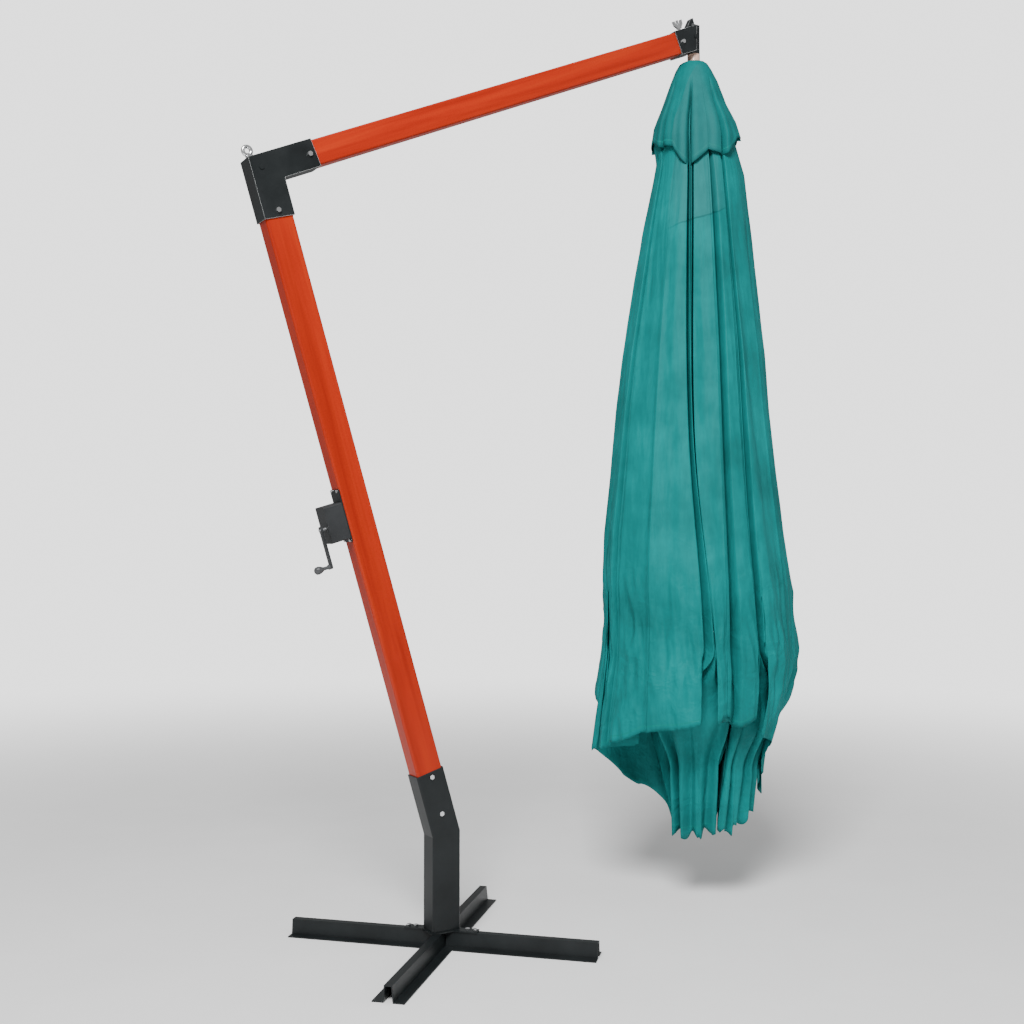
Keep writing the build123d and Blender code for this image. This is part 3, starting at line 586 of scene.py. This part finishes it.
# ---------------------------------------------------------------- vent cap
cap_left = (
    (2.666, 0.022), (2.660, 0.046), (2.640, 0.058), (2.600, 0.074),
    (2.517, 0.102), (2.453, 0.128), (2.40, 0.137), (2.30, 0.137),
)
cap_right = (
    (2.666, 0.022), (2.660, 0.044), (2.640, 0.056), (2.600, 0.076),
    (2.517, 0.106), (2.453, 0.138), (2.40, 0.155), (2.30, 0.160),
)
# hem height of each petal at its rib; petal 8 is 0 here
cap_hem = {0: 2.41, 1: 2.39, 2: 2.39, 3: 2.395, 4: 2.385, 5: 2.310, 6: 2.345, 7: 2.420}
# steps of the mesh across and down a petal
PETAL_ACROSS = 64
PETAL_DOWN = 40
# how far a petal's hem rises from its rib to its edges, either side of the mean
HEM_RISE = 0.014


def petal(k):
    """One petal of the vent cap, from the hub down to its scalloped hem, tucked in over its rib."""
    mid = math.radians(45 * k)
    own = cap_hem[k % 8]
    verts, uvs = [], []
    for j in range(PETAL_DOWN + 1):
        for i in range(PETAL_ACROSS + 1):
            u = i / PETAL_ACROSS * 2 - 1
            inside = 1 - u * u
            f = mid + u * HALF_GORE
            other = cap_hem[(k + (1 if u > 0 else -1)) % 8]
            edge = (own + other) / 2 + HEM_RISE
            hem = own - HEM_RISE + (edge - own + HEM_RISE) * abs(u) ** 1.5
            z = CAP_TOP + (hem - CAP_TOP) * (j / PETAL_DOWN) ** 1.35
            low = smooth(2.62, 2.42, z)
            r = between_sides(cap_left, cap_right, f, z)
            r -= low * 0.032 * math.exp(-((u / 0.10) ** 2))
            r += low * 0.003 * math.sin(2 * math.pi * 1.2 * u + k) * inside
            r += low * inside * 0.007 * noise.noise(Vector((3 * f, 6 * z, k)))
            f += math.radians(2.0) * low * math.sin(2.0 * k) * inside
            verts.append((AXIS + r * math.cos(f), r * math.sin(f), z))
            uvs.append((u * 0.2, z - hem))
    o = add_cloth(f"vent_{k}", verts, uvs, PETAL_DOWN, PETAL_ACROSS, mats["shaded_cap_cloth"])
    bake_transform(o)
    return o


caps = [petal(k) for k in range(1, 9)]
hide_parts("canopy_top")

# ---------------------------------------------------------------- drop cord
STRAND_R = 0.0016
STRAND_OUT = 0.0014
STRANDS = 3
ROPE_TURNS = 34
STEPS_A_TURN = 12
RING = 8


def drop_rope():
    """The cord from the hub down to the runner: twisted strands."""
    low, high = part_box("drop_cord")
    steps = ROPE_TURNS * STEPS_A_TURN
    verts, faces, uvs = [], [], []
    for n in range(STRANDS):
        start = len(verts)
        for j in range(steps + 1):
            t = j / steps
            a = 2 * math.pi * (ROPE_TURNS * t + n / STRANDS)
            cx, cy = AXIS + STRAND_OUT * math.cos(a), STRAND_OUT * math.sin(a)
            z = high.z + (low.z - high.z) * t
            for i in range(RING):
                b = 2 * math.pi * i / RING
                verts.append((cx + STRAND_R * math.cos(b), cy + STRAND_R * math.sin(b), z))
                uvs.append((i / RING, t))
        for j in range(steps):
            for i in range(RING):
                a = start + j * RING + i
                b = start + j * RING + (i + 1) % RING
                faces.append((a, b, b + RING, a + RING))
        faces.append(tuple(start + i for i in range(RING)))
        faces.append(tuple(start + steps * RING + RING - 1 - i for i in range(RING)))
    o = add_mesh("drop_rope", verts, faces, uvs, mats["cord"])
    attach(o, "stand")
    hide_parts("drop_cord")
    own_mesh(o)


drop_rope()

# ---------------------------------------------------------------- floor and light
FLOOR_HALF = 30
# brightness of the backdrop as a light, and as the camera sees it
AMBIENT = 0.40
BACKDROP = 2.2
# distances from the base between which the floor fades into the backdrop
FADE_START = 1.6
FADE_END = 7.0


def backdrop_level(tree):
    seen = tree.nodes.new("ShaderNodeLightPath").outputs["Is Camera Ray"]
    return times_plus(tree, seen, BACKDROP - AMBIENT, AMBIENT)


def floor_material():
    """Pale floor that fades into the backdrop away from the base."""
    m, t, s = new_material("floor", 0.9)
    v = coords(t)
    pale = ramp(t, noise_tex(t, v, 3.0, 3.0), [(0.3, (0.90, 0.90, 0.90)), (0.7, (0.93, 0.93, 0.93))])
    t.links.new(pale, s.inputs["Base Color"])
    spread = t.nodes.new("ShaderNodeVectorMath")
    spread.operation = "LENGTH"
    t.links.new(v, spread.inputs[0])
    away = fade(t, spread.outputs["Value"], FADE_START, FADE_END)
    away.interpolation_type = "SMOOTHSTEP"
    glow = t.nodes.new("ShaderNodeEmission")
    t.links.new(backdrop_level(t), glow.inputs["Strength"])
    both = t.nodes.new("ShaderNodeMixShader")
    t.links.new(away.outputs["Result"], both.inputs[0])
    t.links.new(s.outputs[0], both.inputs[1])
    t.links.new(glow.outputs[0], both.inputs[2])
    t.links.new(both.outputs[0], t.nodes["Material Output"].inputs["Surface"])
    return m


def add_floor():
    mesh = bpy.data.meshes.new("floor")
    corners = [(x * FLOOR_HALF, y * FLOOR_HALF, 0) for x, y in ((-1, -1), (1, -1), (1, 1), (-1, 1))]
    mesh.from_pydata(corners, [], [(0, 1, 2, 3)])
    mesh.materials.append(floor_material())
    floor = bpy.data.objects.new("floor", mesh)
    bpy.context.collection.objects.link(floor)


def add_world():
    world = bpy.data.worlds.new("world")
    bpy.context.scene.world = world
    world.use_nodes = True
    sky = world.node_tree.nodes["Background"]
    sky.inputs["Color"].default_value = (1, 1, 1, 1)
    world.node_tree.links.new(backdrop_level(world.node_tree), sky.inputs["Strength"])


def area_light(name, place, aim, size, power):
    data = bpy.data.lights.new(name, "AREA")
    data.size = size
    data.energy = power
    o = bpy.data.objects.new(name, data)
    bpy.context.collection.objects.link(o)
    o.location = place
    o.rotation_euler = (Vector(aim) - Vector(place)).to_track_quat("-Z", "Y").to_euler()


add_floor()
add_world()
area_light("key", (-2.8, -3.7, 5.4), (0.4, 0, 1.2), 2.2, 700)
area_light("fill", (4.5, -2.5, 2.5), (0.4, 0, 1.2), 3.0, 35)
